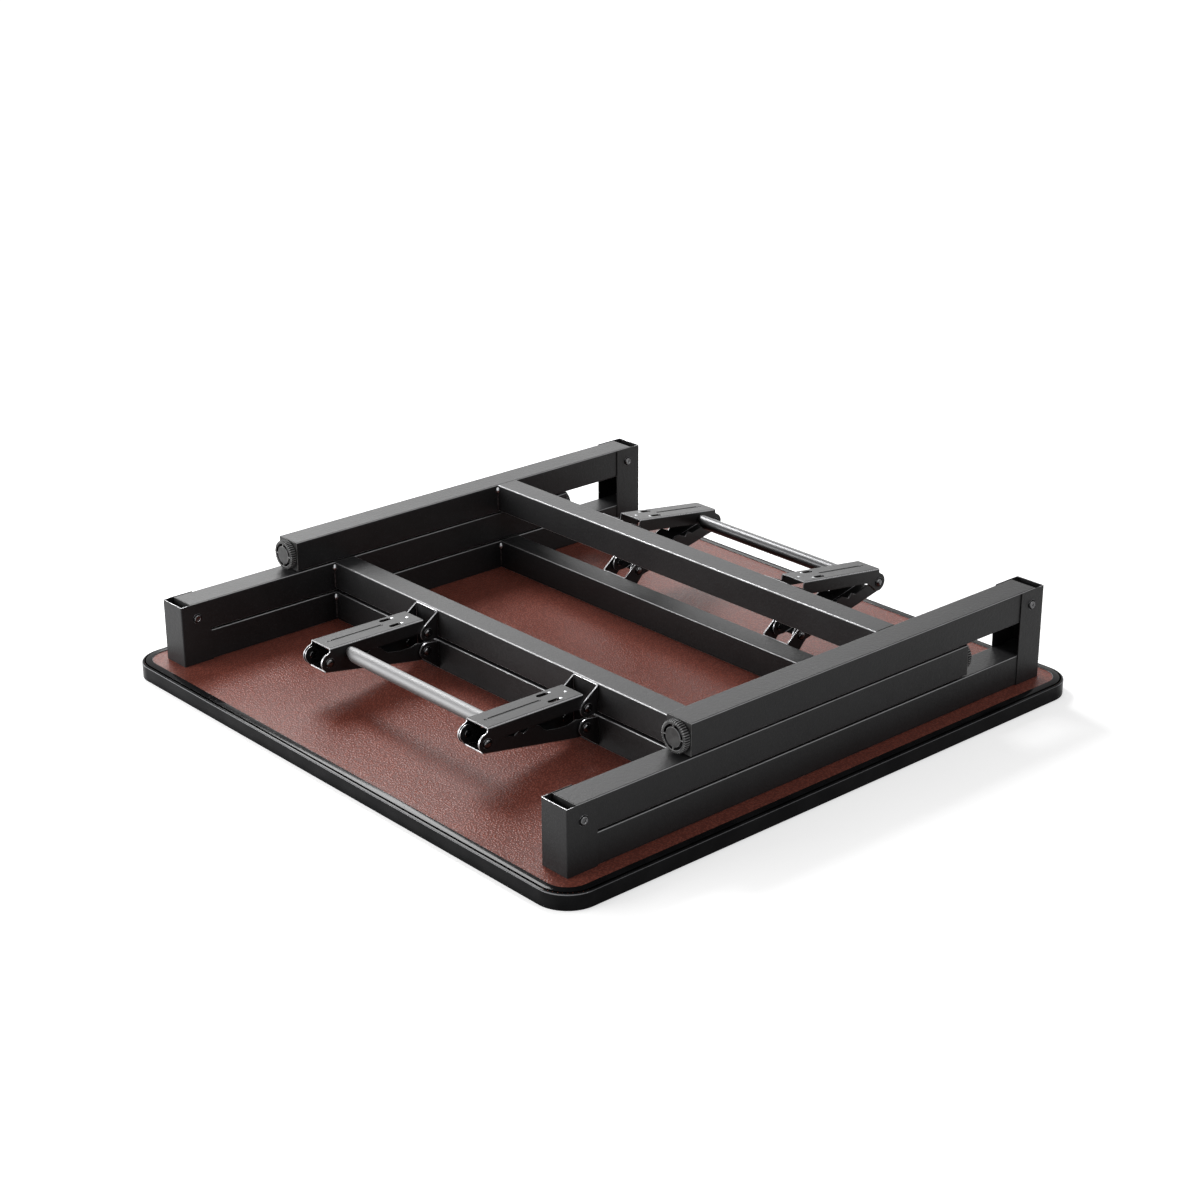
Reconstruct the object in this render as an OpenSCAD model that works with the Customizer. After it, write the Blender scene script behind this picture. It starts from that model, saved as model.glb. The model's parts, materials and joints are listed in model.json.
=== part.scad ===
// Folding table, lying face down with both leg frames folded flat.
// Origin: centre of the face, on the floor. X runs along the crossbars,
// Y along the side rails, Z up from the floor.

/* [Table top] */
// Side of the square top, across its edge trim
top_side = 860; // [800:5:1000]
// Radius of the top's corners
corner_r = 42; // [20:1:70]
// Thickness of the laminate on the face
face_t = 1; // [0.6:0.1:2]
// Thickness of the core board
core_t = 18.7; // [12:0.1:25]
// Thickness of the lining on the underside
lining_t = 0.8; // [0.4:0.1:1.5]
// Wall of the edge trim round the board
trim_wall = 3; // [2:0.5:5]
// Width of the trim's lip on the underside
trim_lip_w = 14; // [8:0.5:20]
// Height of the lip above the lining
trim_lip_t = 1; // [0.6:0.1:2]

/* [Side frames] */
// Edge of the top to the end plates of the posts
frame_end_inset = 35.4; // [32:0.2:60]
// Edge of the top to the outer sides of the posts
frame_side_inset = 35; // [20:0.5:70]
// Sheet thickness of the U-shaped end posts
post_sheet = 1.2; // [1:0.1:2]
// Depth of the posts along the rails
post_depth = 43.2; // [40:0.2:60]
// How far a post stands above the tube that turns in it
post_rise = 1.2; // [0.5:0.1:4]
// Side of the square rails and leg tubes
tube_side = 40; // [34:0.5:44]
// Wall of every tube
tube_wall = 1.5; // [1:0.1:2.5]
// Corner radius of every tube
tube_r = 2; // [1:0.1:3]
// Play of a leg tube beside each wall of its post
side_play = 0.3; // [0.2:0.05:0.6]
// Width of the cross rails and crossbars
bar_w = 34; // [26:0.5:40]
// Height of the crossbars on the legs
crossbar_h = 38; // [30:0.5:40]
// Side of the weld beads in the frame's corners
weld_leg = 2.5; // [1.5:0.1:4]

/* [Legs] */
// Tube end to the pivot line
tube_tail = 7.5; // [6.5:0.1:12]
// Play of the turning tube end before the post's end plate
end_play = 0.54; // [0.3:0.02:2]
// Play of the turning tube end over the layer below
under_play = 0.64; // [0.3:0.02:2]
// Pivot line to the sole, inner leg; the outer leg is one layer shorter
inner_leg_len = 636; // [560:1:700]
// Pivot line to the near face of the inner crossbar
inner_bar_at = 217; // [190:1:260]
// Pivot line to the near face of the outer crossbar
outer_bar_at = 210; // [190:1:260]
// Pivot line to the near face of the inner cross rail
inner_rail_at = 217; // [190:1:260]
// Pivot line to the near face of the outer cross rail
outer_rail_at = 206.6; // [190:1:260]
// Radius of the pivot bolts
bolt_r = 4; // [3:0.5:5]
// Radius of the domed heads and cap nuts
bolt_head_r = 6.5; // [5.5:0.5:9]
// Height of the domed heads and cap nuts
bolt_head_h = 2.6; // [2:0.1:5]
// Wall of the sleeves round the bolts
sleeve_wall = 2; // [1:0.5:2.5]
// Radial play of every turning fit
fit_play = 0.05; // [0.02:0.01:0.1]

/* [Feet] */
// Radius of the knurled feet
foot_r = 19.5; // [16:0.5:19.5]
// Thickness of the feet
foot_t = 9; // [7:0.5:12]
// Gap between a foot and its tube when screwed home
foot_gap = 1; // [0.5:0.1:2]
// Radius of the screw stem
stem_r = 5; // [4:0.5:6]
// Length of the screw stem above the foot
stem_len = 34; // [26:1:45]
// Length of the threaded plug in the tube
plug_len = 30; // [20:1:35]
// Radius of the raised disc on the sole
sole_disc_r = 12; // [8:0.5:14]
// Width of the ring groove round that disc
sole_groove_w = 3.4; // [1.5:0.1:4]
// Depth of the ring groove
sole_groove_d = 1.6; // [1:0.1:3]

/* [Braces] */
// Pivot to pivot length of each link
link_len = 150; // [149.9:0.1:156]
// Centre of the table to the centre of each brace
brace_x = 153; // [110:1:220]
// Outside width of the upper links
upper_link_w = 40; // [34:0.5:50]
// Sheet thickness of the links
link_sheet = 1.8; // [1.2:0.1:2.2]
// Pivot line to the outside of the upper link's web
upper_web_at = 18.8; // [17:0.1:22]
// Pivot line to the outside of the lower link's web
lower_web_at = 14.3; // [13:0.1:15]
// Radius of the links' ends
link_end_r = 12; // [9:0.5:12.5]
// Play between one layer of brace sheet and the next
brace_play = 0.3; // [0.2:0.05:0.5]
// Play between the link end and the ear that it meets
ear_play = 0.4; // [0.3:0.05:0.8]
// Sheet thickness of the brackets
bracket_sheet = 2.2; // [1.5:0.1:3]
// Radius of the bracket ears round their pivots
ear_r = 11; // [8:0.5:11.5]
// Radius of the rivets
rivet_r = 3; // [2:0.25:4]
// Radius of the rivet heads
rivet_head_r = 4.6; // [4:0.1:6]
// Height of the rivet heads
rivet_head_h = 2; // [1.5:0.1:3]
// Radius of the washers under the heads
washer_r = 6.6; // [5:0.1:8]
// Thickness of the washers
washer_t = 0.8; // [0.5:0.1:1.5]
// Inner leg: crossbar face to the upper pivot
inner_upper_reach = 17.3; // [15:0.1:24]
// Inner leg: cross rail face to the lower pivot
inner_lower_reach = 19.6; // [17:0.1:26]
// Inner leg: lining to the lower pivot
inner_lower_h = 30.5; // [26:0.5:31]
// Outer leg: crossbar face to the upper pivot
outer_upper_reach = 26.4; // [22:0.1:30]
// Outer leg: cross rail face to the lower pivot
outer_lower_reach = 25.3; // [22:0.1:30]
// Outer leg: lining to the lower pivot
outer_lower_h = 44.5; // [38:0.5:48]
// Inner leg: tube centre down to the upper pivot
inner_upper_drop = 7; // [5:0.5:8]
// Outer leg: tube centre down to the upper pivot
outer_upper_drop = 6; // [4:0.5:10]
// Length of the slots in the upper link's web
slot_len = 12; // [8:0.5:16]
// Width of the slots
slot_w = 3.5; // [2:0.5:5]
// Sideways distance between the two slots
slot_pitch = 21; // [16:1:24]
// Upper pivot to the centre of the slots
slot_at = 41; // [30:1:60]

/* [Handle bars] */
// Radius of the bar that joins the two upper links
handle_r = 9; // [7:0.5:10]
// Wall of the handle bar
handle_wall = 1.5; // [1:0.1:2.5]
// Upper pivot to the bar, along the link
handle_at = 120; // [90:1:125]
// Pivot line to the bar's centre, towards the web
handle_rise = 6.5; // [2:0.5:8]

/* [Screws] */
// Screws that hold each side rail to the board
screws_per_rail = 4; // [2:1:6]
// Radius of the screw shanks
screw_r = 2; // [1.5:0.25:3]
// Radius of the screw heads
screw_head_r = 4.5; // [3.5:0.25:6]
// Height of the screw heads
screw_head_h = 2.5; // [2:0.1:4]
// Depth of the screws in the board
screw_depth = 13; // [8:0.5:16]
// Frame end to the first screw
screw_inset = 70; // [55:1:120]

/* [Hidden] */
$fn = 64;
// Overshoot of a cutting shape past the face that it cuts
cut = 1;

coat_black = "#2b2c2e";
rivet_grey = "#55585c";
steel_grey = "#a9acb0";
plastic_black = "#1f2022";

board_z = face_t + core_t + lining_t;
trim_h = board_z + trim_lip_t;
board_side = top_side - 2 * trim_wall;

frame_half = top_side / 2 - frame_end_inset;
frame_half_w = top_side / 2 - frame_side_inset;
tube_x = frame_half_w - post_sheet - tube_side / 2;
leg_tube_w = tube_side - 2 * side_play;
// Reach of a turning tube end round its pivot
tail_sweep = norm([tube_tail, tube_side / 2]);
pivot_back = tail_sweep + end_play;
pivot_y = frame_half - post_sheet - pivot_back;
layer_pitch = tube_side / 2 + tail_sweep + under_play;
rail_top = board_z + tube_side;
post_w = tube_side + 2 * post_sheet;
inner_face_x = tube_x - tube_side / 2;
crossbar_len = 2 * (tube_x - leg_tube_w / 2);

// Legs: 0 is the inner one, under the outer one, which is 1
INNER = 0;
OUTER = 1;
bar_at = [inner_bar_at, outer_bar_at];
rail_at = [inner_rail_at, outer_rail_at];
leg_len = [inner_leg_len, inner_leg_len - layer_pitch];
upper_drop = [inner_upper_drop, outer_upper_drop];
upper_reach = [inner_upper_reach, outer_upper_reach];
lower_reach = [inner_lower_reach, outer_lower_reach];
lower_h = [inner_lower_h, outer_lower_h];

function axis_z(leg) = board_z + tube_side / 2 + (leg + 1) * layer_pitch;
function leg_top(leg) = axis_z(leg) + tube_side / 2;

// Brace points as [distance from the pivot line, height]
function upper_pivot(leg) = [bar_at[leg] - upper_reach[leg], axis_z(leg) - upper_drop[leg]];
function lower_pivot(leg) = [rail_at[leg] - lower_reach[leg], board_z + lower_h[leg]];
function elbow(leg) =
  let (u = upper_pivot(leg), w = lower_pivot(leg), chord = u - w, d = norm(chord))
  (u + w) / 2 + sqrt(link_len ^ 2 - d ^ 2 / 4) * [-chord[1], chord[0]] / d;
function heading(p, q) = atan2(q[1] - p[1], q[0] - p[0]);

// Touching point of the line from p to a circle, on its left (1) or right (-1)
function tangent(p, c, r, side) =
  let (d = norm(c - p), a = heading(p, c) + side * asin(r / d), l = sqrt(d ^ 2 - r ^ 2))
  p + l * [cos(a), sin(a)];

lower_link_w = upper_link_w - 2 * (link_sheet + brace_play);
ear_in = upper_link_w / 2 + ear_play;
ear_out = ear_in + bracket_sheet;

// Places children, drawn as [x, distance from the pivot line, z], at a leg's end
module at_leg(leg) {
  if (leg == INNER) translate([0, -pivot_y, 0]) children();
  else mirror([0, 1, 0]) translate([0, -pivot_y, 0]) children();
}

module both_sides(x) {
  for (side = [-1, 1]) translate([side * x, 0, 0]) children();
}

// Square outline with true round corners, about the origin
module rounded(w, h, r) {
  square([w - 2 * r, h], center = true);
  square([w, h - 2 * r], center = true);
  for (sx = [-1, 1], sy = [-1, 1])
    translate([sx * (w / 2 - r), sy * (h / 2 - r)]) circle(r);
}

module tube_section(w, h) {
  difference() {
    rounded(w, h, tube_r);
    rounded(w - 2 * tube_wall, h - 2 * tube_wall, tube_r - tube_wall / 2);
  }
}

// A tube along Y from y0, centred on [x, z]
module tube_y(x, z, y0, len, w, h) {
  translate([x, y0, z]) rotate([-90, 0, 0]) linear_extrude(len) tube_section(w, h);
}

// A tube along X, centred on the origin
module tube_x_bar(len, w, h) {
  translate([-len / 2, 0, 0]) rotate([90, 0, 90]) linear_extrude(len) tube_section(w, h);
}

// A sheet standing across X: its 2D children lie in [y, z]
module sheet_x(x0, t) {
  translate([x0, 0, 0]) rotate([90, 0, 90]) linear_extrude(t) children();
}

module rod_x(x0, x1, y, z, r) {
  translate([x0, y, z]) rotate([0, 90, 0]) cylinder(r = r, h = x1 - x0);
}

// Domed head along +Z from its flat side
module dome(r, h) {
  ball = (r ^ 2 + h ^ 2) / (2 * h);
  intersection() {
    cylinder(r = r, h = h);
    translate([0, 0, h - ball]) sphere(ball);
  }
}

module dome_x(x, y, z, r, h, dir) {
  translate([x, y, z]) rotate([0, 90 * dir, 0]) dome(r, h);
}

module top_outline(inset) {
  rounded(top_side - 2 * inset, top_side - 2 * inset, max(corner_r - inset, 1));
}

module face_laminate() {
  color("#8a5a3c") linear_extrude(face_t) top_outline(trim_wall);
}

function screw_y(i) =
  -frame_half + screw_inset + i * (2 * frame_half - 2 * screw_inset) / (screws_per_rail - 1);

module screw_holes() {
  for (side = [-1, 1], i = [0 : screws_per_rail - 1])
    translate([side * tube_x, screw_y(i), board_z - screw_depth])
      cylinder(r = screw_r, h = screw_depth + tube_wall + cut);
}

module core_board() {
  color("#b08a5e") difference() {
    translate([0, 0, face_t]) linear_extrude(core_t) top_outline(trim_wall);
    screw_holes();
  }
}

module underside_lining() {
  color("#7a4238") difference() {
    translate([0, 0, face_t + core_t]) linear_extrude(lining_t) top_outline(trim_wall);
    screw_holes();
  }
}

module edge_trim() {
  color(plastic_black) {
    linear_extrude(trim_h) difference() {
      top_outline(0);
      top_outline(trim_wall);
    }
    translate([0, 0, board_z]) linear_extrude(trim_lip_t) difference() {
      top_outline(trim_wall);
      top_outline(trim_lip_w);
    }
  }
}

rail_len = 2 * (frame_half - post_sheet);

module side_rail(side) {
  color(coat_black) difference() {
    tube_y(side * tube_x, board_z + tube_side / 2, -rail_len / 2, rail_len, tube_side, tube_side);
    screw_holes();
  }
}

module left_side_rail() { side_rail(-1); }
module right_side_rail() { side_rail(1); }

module cross_rail(leg) {
  color(coat_black) at_leg(leg)
    translate([0, rail_at[leg] + bar_w / 2, board_z + tube_side / 2])
      tube_x_bar(2 * inner_face_x, bar_w, tube_side);
}

module near_cross_rail() { cross_rail(INNER); }
module far_cross_rail() { cross_rail(OUTER); }

// U-shaped post round the end of the rail and the leg's pivot
module post(leg, side) {
  h = leg_top(leg) + post_rise - board_z;
  web_y = -pivot_back - post_sheet;
  color(coat_black) at_leg(leg) difference() {
    translate([side * tube_x - post_w / 2, web_y, board_z]) cube([post_w, post_depth, h]);
    translate([side * tube_x - tube_side / 2, web_y + post_sheet, board_z - cut])
      cube([tube_side, post_depth, h + 2 * cut]);
    rod_x(side * tube_x - post_w, side * tube_x + post_w, 0, axis_z(leg), bolt_r);
  }
}

module near_left_post() { post(INNER, -1); }
module near_right_post() { post(INNER, 1); }
module far_left_post() { post(OUTER, -1); }
module far_right_post() { post(OUTER, 1); }

// Bolt with its domed head on the outside of the frame
module pivot_bolts(leg) {
  color(rivet_grey) at_leg(leg) for (side = [-1, 1]) {
    outside = side * (tube_x + post_w / 2);
    inside = side * (tube_x - post_w / 2);
    rod_x(min(outside, inside), max(outside, inside), 0, axis_z(leg), bolt_r);
    dome_x(outside, 0, axis_z(leg), bolt_head_r, bolt_head_h, side);
  }
}

module near_pivot_bolts() { pivot_bolts(INNER); }
module far_pivot_bolts() { pivot_bolts(OUTER); }

module pivot_cap_nuts() {
  color(rivet_grey) for (leg = [INNER, OUTER]) at_leg(leg) for (side = [-1, 1])
    dome_x(side * (tube_x - post_w / 2), 0, axis_z(leg), bolt_head_r, bolt_head_h, -side);
}

module rail_screws() {
  color(rivet_grey) for (side = [-1, 1], i = [0 : screws_per_rail - 1])
    translate([side * tube_x, screw_y(i), board_z]) {
      translate([0, 0, -screw_depth]) cylinder(r = screw_r, h = screw_depth + tube_wall);
      translate([0, 0, tube_wall]) dome(screw_head_r, screw_head_h);
    }
}

// Beads in the four upright corners where a bar meets its two tubes
module beads(half_len, y0, z0, h) {
  for (side = [-1, 1], edge = [0, 1])
    translate([side * half_len, y0 + edge * bar_w, z0 + tube_r])
      mirror([side == 1 ? 1 : 0, 0, 0]) mirror([0, edge == 0 ? 1 : 0, 0])
        linear_extrude(h - 2 * tube_r) polygon([[0, 0], [weld_leg, 0], [0, weld_leg]]);
}

module frame_weld_beads() {
  color(coat_black) for (leg = [INNER, OUTER]) at_leg(leg)
    beads(inner_face_x, rail_at[leg], board_z, tube_side);
}

module leg_tube(leg, side) {
  color(coat_black) at_leg(leg) difference() {
    tube_y(side * tube_x, axis_z(leg), -tube_tail, tube_tail + leg_len[leg] - foot_t - foot_gap,
      leg_tube_w, tube_side);
    rod_x(side * tube_x - tube_side, side * tube_x + tube_side, 0, axis_z(leg),
      bolt_r + fit_play + sleeve_wall);
  }
}

module leg_crossbar(leg) {
  color(coat_black) at_leg(leg)
    translate([0, bar_at[leg] + bar_w / 2, leg_top(leg) - crossbar_h / 2])
      tube_x_bar(crossbar_len, bar_w, crossbar_h);
}

module leg_beads(leg) {
  color(coat_black) at_leg(leg)
    beads(crossbar_len / 2, bar_at[leg], leg_top(leg) - crossbar_h, crossbar_h);
}

// Sleeve through the tube, on which the leg turns round its bolt
module leg_sleeves(leg) {
  color(steel_grey) at_leg(leg) both_sides(tube_x) difference() {
    rod_x(-leg_tube_w / 2, leg_tube_w / 2, 0, axis_z(leg), bolt_r + fit_play + sleeve_wall);
    rod_x(-tube_side, tube_side, 0, axis_z(leg), bolt_r + fit_play);
  }
}

plug_w = leg_tube_w - 2 * tube_wall;
plug_h = tube_side - 2 * tube_wall;

module leg_foot_plugs(leg) {
  tube_end = leg_len[leg] - foot_t - foot_gap;
  color(plastic_black) at_leg(leg) both_sides(tube_x)
    translate([0, tube_end - plug_len, axis_z(leg)]) rotate([-90, 0, 0]) difference() {
      linear_extrude(plug_len) rounded(plug_w, plug_h, tube_r - tube_wall / 2);
      translate([0, 0, -cut]) cylinder(r = stem_r + fit_play, h = plug_len + 2 * cut);
    }
}

cap_t = 1.2;

module leg_end_caps(leg) {
  color(plastic_black) at_leg(leg) both_sides(tube_x)
    translate([0, -tube_tail, axis_z(leg)]) rotate([-90, 0, 0])
      linear_extrude(cap_t) rounded(plug_w, plug_h, tube_r - tube_wall / 2);
}

module foot(leg, side) {
  color(plastic_black) at_leg(leg)
    translate([side * tube_x, leg_len[leg], axis_z(leg)]) rotate([90, 0, 0]) difference() {
      union() {
        cylinder(r = foot_r, h = foot_t);
        cylinder(r = stem_r, h = foot_t + stem_len);
      }
      translate([0, 0, -cut]) difference() {
        cylinder(r = sole_disc_r + sole_groove_w, h = sole_groove_d + cut);
        cylinder(r = sole_disc_r, h = sole_groove_d + 2 * cut);
      }
    }
}

// Ear from a bar's face round a pivot, in [distance from the pivot line, z]
module ear(face, top_z, foot_z, pivot) {
  difference() {
    union() {
      polygon([[face, top_z], tangent([face, top_z], pivot, ear_r, -1), pivot,
        tangent([face, foot_z], pivot, ear_r, 1), [face, foot_z]]);
      translate(pivot) circle(ear_r);
    }
    translate(pivot) circle(rivet_r);
  }
}

// Bent sheet bracket: a back plate on the bar and two ears
module bracket(face, top_z, foot_z, pivot) {
  for (side = [-1, 1])
    sheet_x(side == 1 ? ear_in : -ear_out, bracket_sheet) ear(face, top_z, foot_z, pivot);
  translate([-ear_in, face - bracket_sheet, foot_z])
    cube([2 * ear_in, bracket_sheet, top_z - foot_z]);
}

bracket_top_drop = 1.5;
bracket_foot_lift = 1.5;

module lower_brackets(leg) {
  color(coat_black) at_leg(leg) both_sides(brace_x)
    bracket(rail_at[leg], rail_top - tube_r / 2, board_z + bracket_foot_lift, lower_pivot(leg));
}

module near_lower_brackets() { lower_brackets(INNER); }
module far_lower_brackets() { lower_brackets(OUTER); }

module leg_brackets(leg) {
  color(coat_black) at_leg(leg) both_sides(brace_x)
    bracket(bar_at[leg], leg_top(leg) - bracket_top_drop,
      leg_top(leg) - crossbar_h + bracket_foot_lift, upper_pivot(leg));
}

// Rivet head on a washer, at x, pointing along dir
module rivet_head(x, p, dir) {
  x1 = x + dir * washer_t;
  rod_x(min(x, x1), max(x, x1), p[0], p[1], washer_r);
  dome_x(x1, p[0], p[1], rivet_head_r, rivet_head_h, dir);
}

// Rivets that end in the ears: this pivot is left open for the link
module leg_bracket_rivets(leg) {
  p = upper_pivot(leg);
  color(rivet_grey) at_leg(leg) both_sides(brace_x) for (side = [-1, 1]) {
    rod_x(side == 1 ? ear_in : -ear_out, side == 1 ? ear_out : -ear_in, p[0], p[1], rivet_r);
    rivet_head(side * ear_out, p, side);
  }
}

tail_t = 1.4;
shoulder_r = 5.2;

// A rivet along X at p: through a link's wall at `wall`, from an outer sheet at `out`
module link_rivet(p, out, wall, side) {
  inner_end = wall - link_sheet - brace_play / 2;
  rod_x(min(side * inner_end, side * out), max(side * inner_end, side * out), p[0], p[1], rivet_r);
  rod_x(side == 1 ? inner_end - tail_t : -inner_end,
    side == 1 ? inner_end : -inner_end + tail_t, p[0], p[1], rivet_head_r);
  rivet_head(side * out, p, side);
}

module lower_rivets(leg) {
  p = lower_pivot(leg);
  wall = lower_link_w / 2;
  shoulder = wall + brace_play / 2;
  color(rivet_grey) at_leg(leg) both_sides(brace_x) for (side = [-1, 1]) {
    link_rivet(p, ear_out, wall, side);
    rod_x(side == 1 ? shoulder : -ear_in, side == 1 ? ear_in : -shoulder, p[0], p[1], shoulder_r);
  }
}

module near_lower_rivets() { lower_rivets(INNER); }
module far_lower_rivets() { lower_rivets(OUTER); }

module elbow_rivets(leg) {
  color(rivet_grey) at_leg(leg) both_sides(brace_x) for (side = [-1, 1])
    link_rivet(elbow(leg), upper_link_w / 2, lower_link_w / 2, side);
}

// Places children, drawn as [x, distance along the link, towards the board], on a link
module along(from, to) {
  translate([0, from[0], from[1]]) rotate([heading(from, to), 0, 0]) children();
}

upper_web_start = 5;
upper_web_end = link_len - 1;
upper_wall_edge = 1;
lower_web_start = 11;
lower_web_end = link_len + 1.5;
elbow_neck = 22;

// Side wall of an upper link: straight under the web, with a round end at the elbow
module upper_wall() {
  polygon([[upper_web_start, -upper_web_at], [upper_web_end, -upper_web_at],
    [upper_web_end, -link_end_r * 0.9], [link_len, 0], [link_len - 2, link_end_r - 2],
    [link_len - elbow_neck, -upper_wall_edge], [upper_web_start, -upper_wall_edge]]);
  translate([link_len, 0]) circle(link_end_r);
}

module upper_link(leg) {
  half = upper_link_w / 2;
  along(upper_pivot(leg), elbow(leg)) difference() {
    union() {
      for (side = [-1, 1])
        sheet_x(side == 1 ? half - link_sheet : -half, link_sheet) upper_wall();
      translate([-half, upper_web_start, -upper_web_at])
        cube([upper_link_w, upper_web_end - upper_web_start, link_sheet]);
    }
    rod_x(-upper_link_w, upper_link_w, link_len, 0, rivet_r);
    both_sides(slot_pitch / 2) translate([0, slot_at, -upper_web_at - cut])
      linear_extrude(link_sheet + 2 * cut) {
        square([slot_w, slot_len - slot_w], center = true);
        for (end = [-1, 1]) translate([0, end * (slot_len - slot_w) / 2]) circle(slot_w / 2);
      }
  }
}

// Side wall of a lower link: a wavy edge between two round ends
module lower_wall() {
  polygon([[lower_web_start, lower_web_at], [lower_web_end, lower_web_at],
    [link_len + link_end_r * 0.6, link_end_r * 0.8], [link_len, 0],
    [link_len, -link_end_r + 2], [135, -4], [108, -3], [102, -8], [95, -4], [84, -12],
    [70, -10], [58, -3], [40, -3], [14, -10], [0, -link_end_r], [0, 0],
    [0, link_end_r]]);
  for (s = [0, link_len]) translate([s, 0]) circle(link_end_r - 1);
}

module lower_link(leg) {
  half = lower_link_w / 2;
  along(lower_pivot(leg), elbow(leg)) difference() {
    union() {
      for (side = [-1, 1])
        sheet_x(side == 1 ? half - link_sheet : -half, link_sheet) lower_wall();
      translate([-half, lower_web_start, lower_web_at - link_sheet])
        cube([lower_link_w, lower_web_end - lower_web_start, link_sheet]);
    }
    for (s = [0, link_len]) rod_x(-upper_link_w, upper_link_w, s, 0, rivet_r + fit_play);
  }
}

module upper_links(leg) { color(coat_black) at_leg(leg) both_sides(brace_x) upper_link(leg); }
module lower_links(leg) { color(coat_black) at_leg(leg) both_sides(brace_x) lower_link(leg); }

module handle_bar(leg) {
  half = brace_x - upper_link_w / 2;
  color(steel_grey) at_leg(leg) along(upper_pivot(leg), elbow(leg)) difference() {
    rod_x(-half, half, handle_at, -handle_rise, handle_r);
    rod_x(-half - cut, half + cut, handle_at, -handle_rise, handle_r - handle_wall);
  }
}

module inner_leg_left_tube() { leg_tube(INNER, -1); }
module inner_leg_right_tube() { leg_tube(INNER, 1); }
module inner_leg_crossbar() { leg_crossbar(INNER); }
module inner_leg_brackets() { leg_brackets(INNER); }
module inner_leg_bracket_rivets() { leg_bracket_rivets(INNER); }
module inner_leg_weld_beads() { leg_beads(INNER); }
module inner_leg_sleeves() { leg_sleeves(INNER); }
module inner_leg_foot_plugs() { leg_foot_plugs(INNER); }
module inner_leg_end_caps() { leg_end_caps(INNER); }
module outer_leg_left_tube() { leg_tube(OUTER, -1); }
module outer_leg_right_tube() { leg_tube(OUTER, 1); }
module outer_leg_crossbar() { leg_crossbar(OUTER); }
module outer_leg_brackets() { leg_brackets(OUTER); }
module outer_leg_bracket_rivets() { leg_bracket_rivets(OUTER); }
module outer_leg_weld_beads() { leg_beads(OUTER); }
module outer_leg_sleeves() { leg_sleeves(OUTER); }
module outer_leg_foot_plugs() { leg_foot_plugs(OUTER); }
module outer_leg_end_caps() { leg_end_caps(OUTER); }

face_laminate();
core_board();
underside_lining();
edge_trim();
left_side_rail();
right_side_rail();
near_cross_rail();
far_cross_rail();
near_left_post();
near_right_post();
far_left_post();
far_right_post();
near_lower_brackets();
far_lower_brackets();
near_lower_rivets();
far_lower_rivets();
near_pivot_bolts();
far_pivot_bolts();
pivot_cap_nuts();
rail_screws();
frame_weld_beads();
inner_leg_left_tube();
inner_leg_right_tube();
inner_leg_crossbar();
inner_leg_brackets();
inner_leg_bracket_rivets();
inner_leg_weld_beads();
inner_leg_sleeves();
inner_leg_foot_plugs();
inner_leg_end_caps();
outer_leg_left_tube();
outer_leg_right_tube();
outer_leg_crossbar();
outer_leg_brackets();
outer_leg_bracket_rivets();
outer_leg_weld_beads();
outer_leg_sleeves();
outer_leg_foot_plugs();
outer_leg_end_caps();
lower_links(INNER);  // inner_lower_links
upper_links(INNER);  // inner_upper_links
handle_bar(INNER);  // inner_handle_bar
elbow_rivets(INNER);  // inner_elbow_rivets
lower_links(OUTER);  // outer_lower_links
upper_links(OUTER);  // outer_upper_links
handle_bar(OUTER);  // outer_handle_bar
elbow_rivets(OUTER);  // outer_elbow_rivets
foot(INNER, -1);  // inner_left_foot
foot(INNER, 1);  // inner_right_foot
foot(OUTER, -1);  // outer_left_foot
foot(OUTER, 1);  // outer_right_foot
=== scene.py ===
import json
from math import asin, cos, degrees, pi, radians, sin, sqrt

import bmesh
import bpy
from mathutils import Matrix, Vector


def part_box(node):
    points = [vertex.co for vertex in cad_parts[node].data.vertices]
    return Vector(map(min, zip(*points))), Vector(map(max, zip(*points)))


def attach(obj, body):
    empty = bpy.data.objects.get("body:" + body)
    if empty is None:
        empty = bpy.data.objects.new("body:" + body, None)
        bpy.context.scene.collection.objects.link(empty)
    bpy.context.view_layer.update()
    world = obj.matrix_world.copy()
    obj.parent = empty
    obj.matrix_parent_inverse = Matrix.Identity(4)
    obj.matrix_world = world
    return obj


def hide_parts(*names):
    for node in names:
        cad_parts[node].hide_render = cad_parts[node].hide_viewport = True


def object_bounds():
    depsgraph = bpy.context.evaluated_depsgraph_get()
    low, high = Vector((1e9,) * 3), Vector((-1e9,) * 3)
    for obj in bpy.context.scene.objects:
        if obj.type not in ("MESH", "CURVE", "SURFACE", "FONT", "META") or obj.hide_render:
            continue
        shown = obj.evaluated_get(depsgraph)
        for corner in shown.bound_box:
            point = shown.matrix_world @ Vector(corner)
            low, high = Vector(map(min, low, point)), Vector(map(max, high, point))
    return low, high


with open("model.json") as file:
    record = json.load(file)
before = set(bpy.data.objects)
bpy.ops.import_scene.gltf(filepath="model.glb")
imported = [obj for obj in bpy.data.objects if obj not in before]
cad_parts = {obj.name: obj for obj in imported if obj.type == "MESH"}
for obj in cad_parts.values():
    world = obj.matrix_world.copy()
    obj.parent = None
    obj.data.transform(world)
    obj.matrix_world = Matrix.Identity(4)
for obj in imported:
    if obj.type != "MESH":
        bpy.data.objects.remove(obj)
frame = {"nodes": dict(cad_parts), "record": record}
cad_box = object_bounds()

MM = 0.001
UP = Vector((0, 0, 1))
X_AXIS = Vector((1, 0, 0))

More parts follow.
